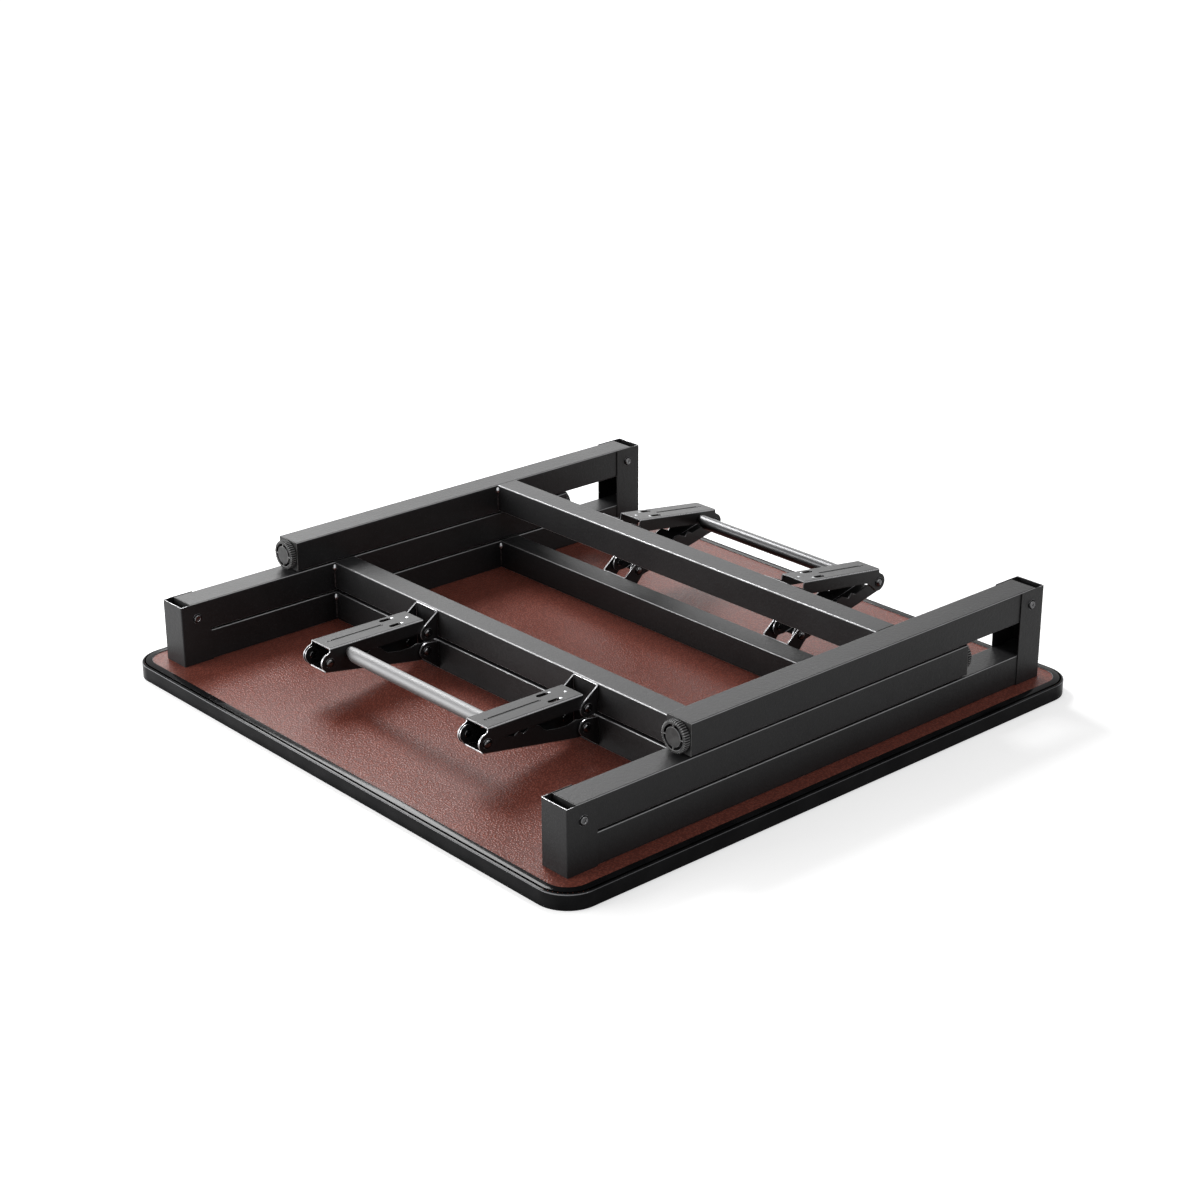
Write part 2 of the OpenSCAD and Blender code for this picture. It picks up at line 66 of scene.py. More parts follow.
# Sizes that the frame doesn't give, in metres
TOP_CORNER = 42 * MM
TRIM_WALL = 3 * MM
TRIM_LIP_RISE = 1 * MM
SHEET_EDGE = 0.35 * MM
POST_SHEET = 1.2 * MM
POST_BEND = 1.7 * MM
POST_HIGHLIT_EDGE = 9.5 * MM
BOLT_RADIUS = 4 * MM
BOLT_HEAD_RADIUS = 6.5 * MM
BOLT_HEAD_HEIGHT = 2.6 * MM
LINK_SHEET = 1.8 * MM
LINK_BEND = 2.6 * MM
LINK_LENGTH = 150 * MM
LINK_END = 12 * MM
UPPER_HALF_WIDTH = 20 * MM
UPPER_WEB_AT = 18.8 * MM
LOWER_HALF_WIDTH = 17.9 * MM
LOWER_WEB_AT = 14.3 * MM
BRACKET_SHEET = 2.2 * MM
BRACKET_BEND = 2.8 * MM
BRACKET_HALF_WIDTH = 22.6 * MM
EAR_RADIUS = 11 * MM
HANDLE_RADIUS = 9 * MM
FOOT_RADIUS = 19.5 * MM
FOOT_THICKNESS = 9 * MM
SOLE_DISC = 12 * MM
SOLE_GROOVE = 15.4 * MM
GROOVE_DEPTH = 5 * MM
TOUCH = 1e-5  # points this near count as one place

KNURLS = 40
KNURL_STEPS = 4  # points round a knurl, two of them pushed in


class Wire:
    """A socket of a finish. Arithmetic on it adds Math nodes."""

    def __init__(self, finish, socket):
        self.finish = finish
        self.socket = socket

    def math(self, operation, *values):
        inputs = dict(enumerate(values))
        return self.finish.node("Math", {"operation": operation}, inputs)

    def __add__(self, other):
        return self.math("ADD", self, other)

    __radd__ = __add__

    def __mul__(self, other):
        return self.math("MULTIPLY", self, other)

    __rmul__ = __mul__

    def __sub__(self, other):
        return self.math("SUBTRACT", self, other)

    def __rsub__(self, other):
        return self.math("SUBTRACT", other, self)

    def between(self, low, high):
        """0 below low, 1 above high, smooth between them."""
        inputs = {"Value": self, "From Min": low, "From Max": high}
        return self.finish.node("MapRange", {"interpolation_type": "SMOOTHSTEP"}, inputs)


class Finish:
    """A procedural material on Object coordinates."""

    def __init__(self, name, roughness=0.5, metallic=0.0, coat=0.0, coat_roughness=0.03):
        self.material = bpy.data.materials.new(name)
        self.material.use_nodes = True
        self.tree = self.material.node_tree
        self.shader = self.tree.nodes["Principled BSDF"]
        self.set("Roughness", roughness)
        self.set("Metallic", metallic)
        self.set("Coat Weight", coat)
        self.set("Coat Roughness", coat_roughness)
        self.place = self.node("TexCoord", output="Object")

    def node(self, kind, settings=(), inputs=(), output=0):
        node = self.tree.nodes.new("ShaderNode" + kind)
        for name, value in dict(settings).items():
            setattr(node, name, value)
        for name, value in dict(inputs).items():
            self.feed(node.inputs[name], value)
        return Wire(self, node.outputs[output])

    def feed(self, socket, value):
        if isinstance(value, Wire):
            self.tree.links.new(value.socket, socket)
        elif isinstance(value, tuple) and len(value) == 3 and socket.type == "RGBA":
            socket.default_value = (*value, 1)
        else:
            socket.default_value = value

    def set(self, name, value):
        self.feed(self.shader.inputs[name], value)

    def noise(self, scale, detail=2.0, roughness=0.5, stretch=None):
        place = self.place
        if stretch:
            place = self.node("Mapping", inputs={"Vector": place, "Scale": stretch})
        inputs = {"Vector": place, "Scale": scale, "Detail": detail, "Roughness": roughness}
        return self.node("TexNoise", inputs=inputs)

    def cells(self, scale, warp):
        """Distance to the middle of the nearest of many cells, their borders pushed about."""
        shift = self.node("TexNoise", inputs={"Vector": self.place, "Scale": scale}, output="Color")
        push = self.node("VectorMath", {"operation": "SCALE"}, {0: shift, "Scale": warp})
        place = self.node("VectorMath", {"operation": "ADD"}, {0: self.place, 1: push})
        return self.node("TexVoronoi", inputs={"Vector": place, "Scale": scale}, output="Distance")

    def blend(self, factor, first, second):
        """Colour that goes from first to second with the factor."""
        inputs = {0: factor, 6: first, 7: second}
        return self.node("Mix", {"data_type": "RGBA"}, inputs, output=2)

    def facing(self, direction):
        """How squarely the surface faces along a direction, either way."""
        normal = self.node("TexCoord", output="Normal")
        share = self.node("VectorMath", {"operation": "DOT_PRODUCT"}, {0: normal, 1: direction}, "Value")
        return share.math("ABSOLUTE", share)

    def bump(self, height, distance, strength=1.0):
        inputs = {"Height": height, "Distance": distance, "Strength": strength}
        return self.node("Bump", inputs=inputs)


def tube_fold_wear_and_highlight(finish):
    """1 on the rounded upper and lower corners of pieces that lie along the axes, a little less where the
    side faces along X: edge wear and painted highlight lines go there.
    """
    x, y, z = (finish.facing(axis) for axis in ((1, 0, 0), (0, 1, 0), (0, 0, 1)))
    return (z * (x * 0.85 + y)).between(0.3, 0.5)


def link_fold_wear_and_highlight(finish):
    """1 on the bends between the web and the cheeks of a channel, where edge wear and painted highlight
    lines go.
    """
    x = finish.facing((1, 0, 0))
    return (x * x * (1 - x * x)).between(0.07, 0.24)


# Colour of rubbed edges, which is also the colour of their painted highlight lines
RUBBED_STEEL_AND_HIGHLIGHT = (0.42, 0.42, 0.43)


def powder_coat(name, colour, shade, roughness, grain, folds, rub_and_highlight, gloss):
    """Satin coat: orange peel, faint clouding, light speckles of dust and painted glints, and folds
    rubbed towards the steel that are also lightened as painted highlight lines.
    """
    finish = Finish(name)
    finish.set("Specular IOR Level", gloss)
    grains = finish.noise(620, 2.0)
    peel = finish.noise(230, 2.0)
    clouds = finish.noise(7, 3.0, 0.6)
    speckle = grains.between(0.52, 0.72)
    # Edge wear on the folds, which also paints the bright highlight lines along the edges
    wear_and_highlight = folds(finish) * (0.55 + finish.noise(38, 3.0, 0.65) * 0.7) * rub_and_highlight
    tone = finish.blend(clouds.between(0.3, 0.7), colour, shade)
    # Light speckles: dust, and painted glints on the grain
    dust_and_glints = tuple(3 * c for c in colour)
    tone = finish.blend(speckle * 0.5, tone, dust_and_glints)
    finish.set("Base Color", finish.blend(wear_and_highlight, tone, RUBBED_STEEL_AND_HIGHLIGHT))
    finish.set("Metallic", wear_and_highlight)
    finish.set("Roughness", roughness + (clouds - 0.5) * 0.12 + (grains - 0.5) * 0.16 - wear_and_highlight * 0.1)
    finish.set("Normal", finish.bump(grains + peel * 1.5, grain))
    return finish.material


def cut_edge(name):
    """Sheet edge where the coat is thin and the steel shows through, lightened further as a painted
    highlight line.
    """
    finish = Finish(name)
    rub_and_highlight = finish.noise(55, 4.0, 0.65)
    finish.set("Base Color", finish.blend(rub_and_highlight.between(0.3, 0.7), (0.26, 0.26, 0.27), (0.50, 0.50, 0.51)))
    finish.set("Metallic", 0.6 + rub_and_highlight * 0.3)
    finish.set("Roughness", 0.26 + rub_and_highlight * 0.2)
    finish.set("Normal", finish.bump(finish.noise(900, 2.0), 0.00004))
    return finish.material


def welded_steel():
    """Coat over a weld bead: glossy, with lighter crests."""
    finish = Finish("coated_weld", metallic=0.3, coat=0.3, coat_roughness=0.15)
    ripple = finish.noise(260, 2.0)
    crest = ripple.between(0.35, 0.7)
    finish.set("Base Color", finish.blend(crest, (0.012, 0.012, 0.0125), (0.05, 0.05, 0.052)))
    finish.set("Roughness", 0.3 + ripple * 0.12)
    finish.set("Normal", finish.bump(ripple, 0.0001))
    return finish.material


def leather_lining():
    """Red-brown lining with a satin pebbled grain, its valleys darkened as painted shade and its crowns
    lightened as painted light.
    """
    finish = Finish("pebbled_lining")
    finish.set("Specular IOR Level", 0.13)
    pebble = finish.cells(370, warp=0.0014)
    crown = 1 - pebble.between(0.08, 0.66)
    fine = finish.noise(1100, 3.0, 0.6)
    clouds = finish.noise(5, 4.0, 0.62)
    patches = finish.noise(42, 3.0, 0.6)
    tone = finish.blend(clouds.between(0.35, 0.68), (0.222, 0.061, 0.041), (0.268, 0.077, 0.053))
    tone = finish.blend(patches.between(0.4, 0.75) * 0.4, tone, (0.298, 0.092, 0.064))
    tone = finish.blend(fine.between(0.4, 0.75) * 0.25, tone, (0.32, 0.104, 0.075))
    # Darker colour in the valleys between pebbles and lighter crowns: painted shade and painted light of
    # the grain
    painted_valley_shade = (0.105, 0.029, 0.021)
    finish.set("Base Color", finish.blend(crown * 0.8 + 0.1, painted_valley_shade, tone))
    finish.set("Roughness", 0.34 - crown * 0.08 + (fine - 0.5) * 0.14 + (clouds - 0.5) * 0.08)
    finish.set("Normal", finish.bump(crown + fine * 0.5, 0.00028, 0.85))
    return finish.material


def gloss_edging():
    """Black glossy extruded plastic, with faint waves, fine scuffs, and rounded edges lightened as a
    painted highlight.
    """
    finish = Finish("gloss_edging")
    finish.set("Specular IOR Level", 0.05)
    waves = finish.noise(28, 2.0)
    scuffs = finish.noise(260, 3.0, 0.7).between(0.58, 0.7)
    tone = finish.blend(waves.between(0.3, 0.7), (0.004, 0.004, 0.0045), (0.008, 0.008, 0.0085))
    # Rounded edges lightened towards grey: a painted highlight line
    finish.set("Base Color", finish.blend(tube_fold_wear_and_highlight(finish) * 0.8, tone, (0.24, 0.24, 0.25)))
    finish.set("Roughness", 0.07 + waves * 0.06 + scuffs * 0.12)
    finish.set("Normal", finish.bump(waves + scuffs * 0.1, 0.00006, 0.5))
    return finish.material


def moulded_plastic(name, dark, light):
    """Moulded plastic with a fine spark-eroded texture."""
    finish = Finish(name)
    finish.set("Specular IOR Level", 0.3)
    grains = finish.noise(1300, 2.0)
    clouds = finish.noise(160, 3.0)
    finish.set("Base Color", finish.blend(clouds.between(0.3, 0.7), (dark,) * 3, (light,) * 3))
    finish.set("Roughness", 0.42 + grains * 0.16)
    finish.set("Normal", finish.bump(grains, 0.00008, 0.8))
    return finish.material


def steel(name, dark, light, roughness, stretch=(1, 1, 1)):
    """Bare or plated steel; stretch draws its lines out along one direction."""
    finish = Finish(name, metallic=1.0)
    lines = finish.noise(420, 3.0, 0.6, stretch)
    clouds = finish.noise(30, 3.0)
    finish.set("Base Color", finish.blend(lines * 0.6 + clouds * 0.4, dark, light))
    finish.set("Roughness", roughness + (lines - 0.5) * 0.14 + (clouds - 0.5) * 0.1)
    finish.set("Normal", finish.bump(lines, 0.00003, 0.5))
    return finish.material


def far_handle_shaded_copy():
    """Black gloss stove coat on the far handle bar: a shaded copy of the near bar's light finish, as the
    two bars are alike.
    """
    finish = Finish("far_handle_shaded_copy", metallic=1.0)
    lines = finish.noise(300, 2.0, 0.5, (0.1, 1, 1))
    finish.set("Base Color", finish.blend(lines, (0.06, 0.06, 0.062), (0.09, 0.09, 0.092)))
    finish.set("Roughness", 0.3 + lines * 0.1)
    finish.set("Normal", finish.bump(lines, 0.00004, 0.4))
    return finish.material


def fibreboard():
    """Brown board with fibres that lie flat."""
    finish = Finish("fibreboard")
    fibres = finish.noise(700, 4.0, 0.7, (1, 1, 2.5))
    finish.set("Base Color", finish.blend(fibres, (0.30, 0.19, 0.10), (0.48, 0.33, 0.19)))
    finish.set("Roughness", 0.8 + (fibres - 0.5) * 0.2)
    finish.set("Normal", finish.bump(fibres, 0.0002))
    return finish.material


def wood_grain_laminate():
    """Red-brown wood-grain laminate on the face: long streaks, pores and a soft sheen."""
    finish = Finish("wood_grain_laminate")
    figure = finish.noise(3.2, 3.0, 0.55, (1, 5.5, 1))
    streaks = finish.noise(30, 5.0, 0.62, (0.12, 3.2, 1))
    pores = finish.noise(160, 3.0, 0.6, (0.05, 3.0, 1)).between(0.58, 0.72)
    waves = figure * 26 + streaks * 3
    rings = waves.math("SINE", waves)
    tone = finish.blend(streaks.between(0.3, 0.72), (0.120, 0.036, 0.018), (0.235, 0.085, 0.042))
    tone = finish.blend(rings.between(0.2, 1.0) * 0.45, tone, (0.078, 0.023, 0.013))
    finish.set("Base Color", finish.blend(pores * 0.6, tone, (0.045, 0.014, 0.008)))
    finish.set("Roughness", 0.3 + pores * 0.25 + (streaks - 0.5) * 0.1)
    finish.set("Normal", finish.bump(1 - pores, 0.00008, 0.6))
    return finish.material


FINISHES = {
    "frame_coat": powder_coat(
        "frame_powder_coat", colour=(0.009, 0.009, 0.0095), shade=(0.014, 0.014, 0.0145),
        roughness=0.42, grain=0.00015, folds=tube_fold_wear_and_highlight, rub_and_highlight=0.95, gloss=0.245),
    "brace_coat": powder_coat(
        "brace_powder_coat", colour=(0.008, 0.008, 0.0085), shade=(0.012, 0.012, 0.0125),
        roughness=0.36, grain=0.00005, folds=link_fold_wear_and_highlight, rub_and_highlight=0.85, gloss=0.24),
    "black_zinc": steel("black_zinc", (0.09, 0.09, 0.092), (0.17, 0.17, 0.174), roughness=0.13),
    "zinc": steel("zinc_plate", (0.45, 0.46, 0.47), (0.66, 0.67, 0.69), roughness=0.3),
    # Light steel on the near handle bar: a lit copy of the far bar's black finish, with painted highlight
    "handle": steel("near_handle_lit_copy", (0.165, 0.165, 0.167), (0.22, 0.22, 0.222), roughness=0.6,
                    stretch=(0.04, 1, 1)),
    "plastic": moulded_plastic("moulded_plastic", 0.013, 0.022),
    "trim": gloss_edging(),
    "lining": leather_lining(),
    "core": fibreboard(),
    "face": wood_grain_laminate(),
}
FAR_HANDLE_SHADED = far_handle_shaded_copy()
WELD = welded_steel()
# Bare steel on cut sheet edges, lightened as a painted highlight line
HIGHLIT_SHEET_RIM = cut_edge("bare_and_highlit_sheet_edge")
# Light plastic for worn edges, which also paints highlight lines
WORN_AND_HIGHLIT_PLASTIC = moulded_plastic("worn_and_highlit_plastic", 0.12, 0.24)
SOLE_PLASTIC = moulded_plastic("sole_plastic", 0.026, 0.046)


# Modelling steps

def active():
    return bpy.context.view_layer.objects.active


def only(piece):
    """Leaves one piece selected and active."""
    bpy.ops.object.select_all(action="DESELECT")
    piece.select_set(True)
    bpy.context.view_layer.objects.active = piece


def settle(piece):
    """Takes the piece's place, turn and scale into its mesh."""
    only(piece)
    bpy.ops.object.transform_apply(location=True, rotation=True, scale=True)


def open_mesh(piece):
    only(piece)
    bpy.ops.object.mode_set(mode="EDIT")
    bpy.ops.mesh.select_mode(type="FACE")
    bpy.ops.mesh.select_all(action="DESELECT")


def close_mesh():
    bpy.ops.object.mode_set(mode="OBJECT")


def pick(kind, test):
    """Selects the verts, edges or faces that pass the test, in the open mesh."""
    modes = {"verts": "VERT", "edges": "EDGE", "faces": "FACE"}
    bpy.ops.mesh.select_mode(type=modes[kind])
    bpy.ops.mesh.select_all(action="DESELECT")
    data = bpy.context.edit_object.data
    mesh = bmesh.from_edit_mesh(data)
    for element in getattr(mesh, kind):
        if test(element):
            element.select_set(True)
    mesh.select_flush_mode()
    bmesh.update_edit_mesh(data)


def paint(piece, slot, test):
    """Gives the faces that pass the test another of the piece's finishes."""
    open_mesh(piece)
    pick("faces", test)
    piece.active_material_index = slot
    bpy.ops.object.material_slot_assign()
    close_mesh()


def middle(element):
    points = [v.co for v in element.verts]
    return sum(points, Vector()) / len(points)


def faces_towards(direction):
    return lambda f: f.normal.dot(Vector(direction)) > 0.999


def modify(piece, kind, **settings):
    only(piece)
    modifier = piece.modifiers.new(kind.title(), kind)
    for name, value in settings.items():
        setattr(modifier, name, value)
    bpy.ops.object.modifier_apply(modifier=modifier.name)


def ease_edges(piece, width, angle=50):
    """Small round on every edge that is sharper than the angle."""
    modify(piece, "BEVEL", width=width, segments=2, limit_method="ANGLE",
           angle_limit=radians(angle), harden_normals=False, use_clamp_overlap=True)


def cut_out(piece, cutter):
    modify(piece, "BOOLEAN", operation="DIFFERENCE", solver="EXACT", object=cutter)
    bpy.data.objects.remove(cutter)


def fuse(piece, *others):
    """Joins other pieces' meshes to this one."""
    only(piece)
    for other in others:
        other.select_set(True)
    bpy.ops.object.join()
    return piece


def twin(piece, name):
    copy = piece.copy()
    copy.data = piece.data.copy()
    copy.name = name
    bpy.context.scene.collection.objects.link(copy)
    return copy


def moved(piece, name, shift):
    copy = twin(piece, name)
    copy.location = shift
    settle(copy)
    return copy


def block(name, low, high):
    low = Vector(low)
    high = Vector(high)
    bpy.ops.object.select_all(action="DESELECT")
    bpy.ops.mesh.primitive_cube_add(size=1, location=(low + high) / 2, scale=high - low)
    piece = active()
    piece.name = name
    settle(piece)
    return piece


def cylinder(name, sides, radius, depth, place=(0, 0, 0)):
    bpy.ops.object.select_all(action="DESELECT")
    bpy.ops.mesh.primitive_cylinder_add(vertices=sides, radius=radius, depth=depth, location=place)
    piece = active()
    piece.name = name
    settle(piece)
    return piece


def extrude(step):
    bpy.ops.mesh.extrude_region_move(TRANSFORM_OT_translate={"value": step})


def turn_faces_outwards():
    bpy.ops.mesh.select_all(action="SELECT")
    bpy.ops.mesh.normals_make_consistent(inside=False)


def draw(name, points):
    """Leaves open a mesh of one vertex extruded from point to point."""
    bpy.ops.object.select_all(action="DESELECT")
    bpy.ops.mesh.primitive_plane_add(size=MM, location=points[0])
    piece = active()
    piece.name = name
    settle(piece)
    open_mesh(piece)
    bpy.ops.mesh.select_mode(type="VERT")
    bpy.ops.mesh.select_all(action="SELECT")
    bpy.ops.mesh.merge(type="CENTER")
    for start, end in zip(points, points[1:]):
        extrude(Vector(end) - Vector(start))
    return piece


def lathe(name, outline, steps):
    """Spins an outline of (radius, height) about Z, and closes it at the axis."""
    piece = draw(name, [(radius, 0, height) for radius, height in outline])
    bpy.ops.mesh.select_all(action="SELECT")
    bpy.ops.mesh.spin(steps=steps, angle=2 * pi, center=(0, 0, 0), axis=(0, 0, 1))
    bpy.ops.mesh.select_all(action="SELECT")
    bpy.ops.mesh.remove_doubles(threshold=1e-6)
    turn_faces_outwards()
    close_mesh()
    return piece


def profile_block(name, outline, x0, x1):
    """Fills an outline of (y, z) at x0 and extrudes it to x1. The mesh stays open."""
    piece = draw(name, [(x0, y, z) for y, z in outline])
    bpy.ops.mesh.select_all(action="SELECT")
    bpy.ops.mesh.edge_face_add()
    extrude((x1 - x0, 0, 0))
    turn_faces_outwards()
    return piece


def arc(centre, radius, start, end, steps):
    """Points on an arc, from one angle to another, in degrees."""
    angles = [radians(start + (end - start) * i / steps) for i in range(steps + 1)]
    return [(centre[0] + radius * cos(a), centre[1] + radius * sin(a)) for a in angles]


def sheet_metal(piece, thickness, coat):
    """Gives folded faces their thickness, their coat, and bare steel on the cut edges that is also a
    painted highlight.
    """
    piece.data.materials.append(FINISHES[coat])
    piece.data.materials.append(HIGHLIT_SHEET_RIM)
    modify(piece, "SOLIDIFY", thickness=thickness, offset=-1, use_even_offset=True,
           material_offset_rim=1)


def smooth(piece, slot, node, finish=None, angle=35):
    """Smoothing and finish of a piece that moves with a CAD node."""
    only(piece)
    bpy.ops.object.shade_smooth_by_angle(angle=radians(angle))
    modify(piece, "WEIGHTED_NORMAL", keep_sharp=True)
    if not piece.data.materials:
        piece.data.materials.append(finish or FINISHES[slot])
    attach(piece, BODY_OF[node])


def dress(piece, slot, node, finish=None, angle=35):
    """Gives a finished piece its smoothing and finish, and sets it in its CAD node's place."""
    smooth(piece, slot, node, finish, angle)
    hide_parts(node)


def turned(piece, along, place=(0, 0, 0)):
    """Turns a piece made along +Z to lie along another direction, and moves it."""
    piece.rotation_mode = "QUATERNION"
    piece.rotation_quaternion = UP.rotation_difference(Vector(along))
    piece.location = place
    settle(piece)
    return piece


# Where the frame says things are

BODY_OF = {node: body for body, nodes in frame["record"]["behaviour"]["bodies"].items() for node in nodes}
PIVOT_END = {"inner": "near", "outer": "far"}
PIVOT_SIDE = {"inner": -1, "outer": 1}  # along Y, and the way that the leg's brackets face
BRACE_X = 153 * MM


def axis_of(node):
    """Where the X axis of round pieces lies: the middle of their box in Y and Z."""
    low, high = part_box(node)
    centre = (low + high) / 2
    return Vector((0, centre.y, centre.z))


# Edge trim

def round_over(radius, steps=4):
    """Inset and rise of each step of a quarter round, from the side to the top."""
    points = [(radius * (1 - cos(i * pi / 2 / steps)), radius * sin(i * pi / 2 / steps))
              for i in range(steps + 1)]
    return [(b[0] - a[0], b[1] - a[1]) for a, b in zip(points, points[1:])]


def inset_steps(steps):
    for inwards, upwards in steps:
        bpy.ops.mesh.inset(thickness=inwards, depth=upwards, use_even_offset=True)


def edge_trim():
    """L-shaped extrusion bent round the board, with a crowned lip on the underside."""
    low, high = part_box("edge_trim")
    side = high.x - low.x
    upper_round = 1.3 * MM
    lower_round = 0.8 * MM
    lip_round = 0.8 * MM
    crown = [(4 * MM, 1.1 * MM), (4 * MM, 0.65 * MM), (3.9 * MM, 0.3 * MM)]
    crown_rise = sum(upwards for _, upwards in crown)
    bpy.ops.object.select_all(action="DESELECT")
    bpy.ops.mesh.primitive_plane_add(size=side, location=(0, 0, low.z + upper_round))
    trim = active()
    trim.name = "board_edge_trim"
    settle(trim)
    open_mesh(trim)
    bpy.ops.mesh.select_all(action="SELECT")
    bpy.ops.mesh.bevel(offset=TOP_CORNER, segments=20, affect="VERTICES")
    bpy.ops.mesh.select_all(action="SELECT")
    extrude((0, 0, high.z - low.z - 2 * upper_round - crown_rise))
    pick("faces", faces_towards(UP))
    inset_steps(round_over(upper_round))
    inset_steps(crown)
    inset_steps([(upwards, -inwards) for inwards, upwards in reversed(round_over(lip_round))])
    extrude((0, 0, lip_round - TRIM_LIP_RISE))
    bpy.ops.mesh.delete(type="ONLY_FACE")
    pick("faces", lambda f: len(f.verts) > 4)
    bpy.ops.mesh.normals_make_consistent(inside=False)
    pick("faces", lambda f: len(f.verts) > 4)
    extrude((0, 0, lower_round - upper_round))
    inset_steps(round_over(lower_round, 3))
    inset_steps([(TRIM_WALL - lower_round, 0)])
    extrude((0, 0, high.z - TRIM_LIP_RISE))
    bpy.ops.mesh.delete(type="ONLY_FACE")
    pick("edges", lambda e: e.is_boundary)
    bpy.ops.mesh.bridge_edge_loops()
    turn_faces_outwards()
    close_mesh()
    dress(trim, "trim", "edge_trim")


# Posts and their bolts

def post(node, towards):
    """Folded U of sheet round the end of a rail; towards is where it opens along Y."""
    low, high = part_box(node)
    high.z -= POST_SHEET
    piece = block("folded_" + node, low, high)
    open_mesh(piece)
    pick("faces", lambda f: abs(f.normal.z) > 0.9 or f.normal.y * towards > 0.9)
    bpy.ops.mesh.delete(type="FACE")
    back = low.y if towards > 0 else high.y
    pick("edges", lambda e: abs(middle(e).y - back) < TOUCH and not e.is_boundary)
    bpy.ops.mesh.bevel(offset=POST_BEND, segments=4, affect="EDGES")
    close_mesh()
    sheet_metal(piece, POST_SHEET, "frame_coat")
    highlit_to = back + towards * POST_HIGHLIT_EDGE
    open_mesh(piece)
    bpy.ops.mesh.select_all(action="SELECT")
    bpy.ops.mesh.bisect(plane_co=(0, highlit_to, 0), plane_no=(0, 1, 0))
    close_mesh()
    # Only the top faces of the cut edge near the back bend keep the bright edge finish: a painted
    # highlight line
    paint(piece, 0, lambda f: f.normal.z < 0.9 or (middle(f).y - highlit_to) * towards > 0)
    ease_edges(piece, SHEET_EDGE, 60)
    dress(piece, "frame_coat", node)


def button_head():
    """Head with a flange, a ring crown and a hex socket; its flat side at the origin, facing +Z."""
    radius = BOLT_HEAD_RADIUS
    height = BOLT_HEAD_HEIGHT
    flange = 0.6 * MM
    crown = ((1.6, 0.7), (2.1, 0.93), (2.7, 1), (3.2, 0.96), (3.7, 0.8))
    outline = [(0, 0), (radius, 0), (radius, flange * 0.6), (radius - 0.3 * MM, flange)]
    outline.append((radius - 1.4 * MM, flange))
    outline += [(radius - inset * MM, height * share) for inset, share in crown]
    outline.append((0, height * 0.72))
    head = lathe("bolt_head", outline, 40)
    cut_out(head, cylinder("hex_socket", 6, 2 * MM, 2.6 * MM, (0, 0, height)))
    two_tone(head, "black_zinc", "trim", radius - 1.45 * MM)
    return head


def two_tone(head, crown, flange, radius):
    """One finish inside a radius and another outside it."""
    for slot in (crown, flange):
        head.data.materials.append(FINISHES[slot])
    paint(head, 1, lambda f: middle(f).xy.length > radius)


def shank(x0, x1, y, z):
    rod = cylinder("bolt_shank", 32, BOLT_RADIUS, abs(x1 - x0))
    return turned(rod, X_AXIS, ((x0 + x1) / 2, y, z))


def pivot_bolts():
    """A bolt through each post, with a cap nut on the side of the leg."""
    head = button_head()
    nuts = []
    for end in ("near", "far"):
        pivot = axis_of(end + "_pivot_bolts")
        parts = []
        for side, hand in ((-1, "left"), (1, "right")):
            low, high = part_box(f"{end}_{hand}_post")
            outer, inner = (high.x, low.x) if side > 0 else (low.x, high.x)
            here = twin(head, "bolt_head_here")
            parts.append(turned(here, (side, 0, 0), (outer, pivot.y, pivot.z)))
            parts.append(shank(inner, outer, pivot.y, pivot.z))
            cap = twin(head, "cap_nut_here")
            nuts.append(turned(cap, (-side, 0, 0), (inner, pivot.y, pivot.z)))
        bolts = fuse(*parts)
        bolts.name = end + "_socket_bolts"
        dress(bolts, "black_zinc", end + "_pivot_bolts")
    caps = fuse(*nuts)
    caps.name = "socket_cap_nuts"
    dress(caps, "black_zinc", "pivot_cap_nuts")
    bpy.data.objects.remove(head)


# Plug lips and feet

def plug_lips(leg):
    """Thin lips of the plugs on the four tube ends of a leg; the foot's stem passes through two."""
    side = PIVOT_SIDE[leg]
    inset = 0.3 * MM
    thickness = 0.8 * MM
    lips = []
    for hand in ("left", "right"):
        low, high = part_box(f"{leg}_leg_{hand}_tube")
        pivot_end, foot_end = (low.y, high.y) if side < 0 else (high.y, low.y)
        for end, out in ((pivot_end, side), (foot_end, -side)):
            y0, y1 = sorted((end, end + out * thickness))
            lip = block("plug_lip", (low.x + inset, y0, low.z + inset),
                        (high.x - inset, y1, high.z - inset))
            if end == foot_end:
                hole = cylinder("stem_hole", 32, 7 * MM, 4 * MM)
                centre = ((low.x + high.x) / 2, end, (low.z + high.z) / 2)
                cut_out(lip, turned(hole, (0, 1, 0), centre))
            ease_edges(lip, 0.3 * MM)
            lip.data.materials.append(FINISHES["plastic"])
            lip.data.materials.append(WORN_AND_HIGHLIT_PLASTIC)
            # The lips' edges in light plastic: a painted highlight line at each tube end
            paint(lip, 1, lambda f: abs(f.normal.y) < 0.9)
            lips.append(lip)
    group = fuse(*lips)
    group.name = leg + "_tube_plug_lips"
    smooth(group, "plastic", leg + "_leg_left_tube")


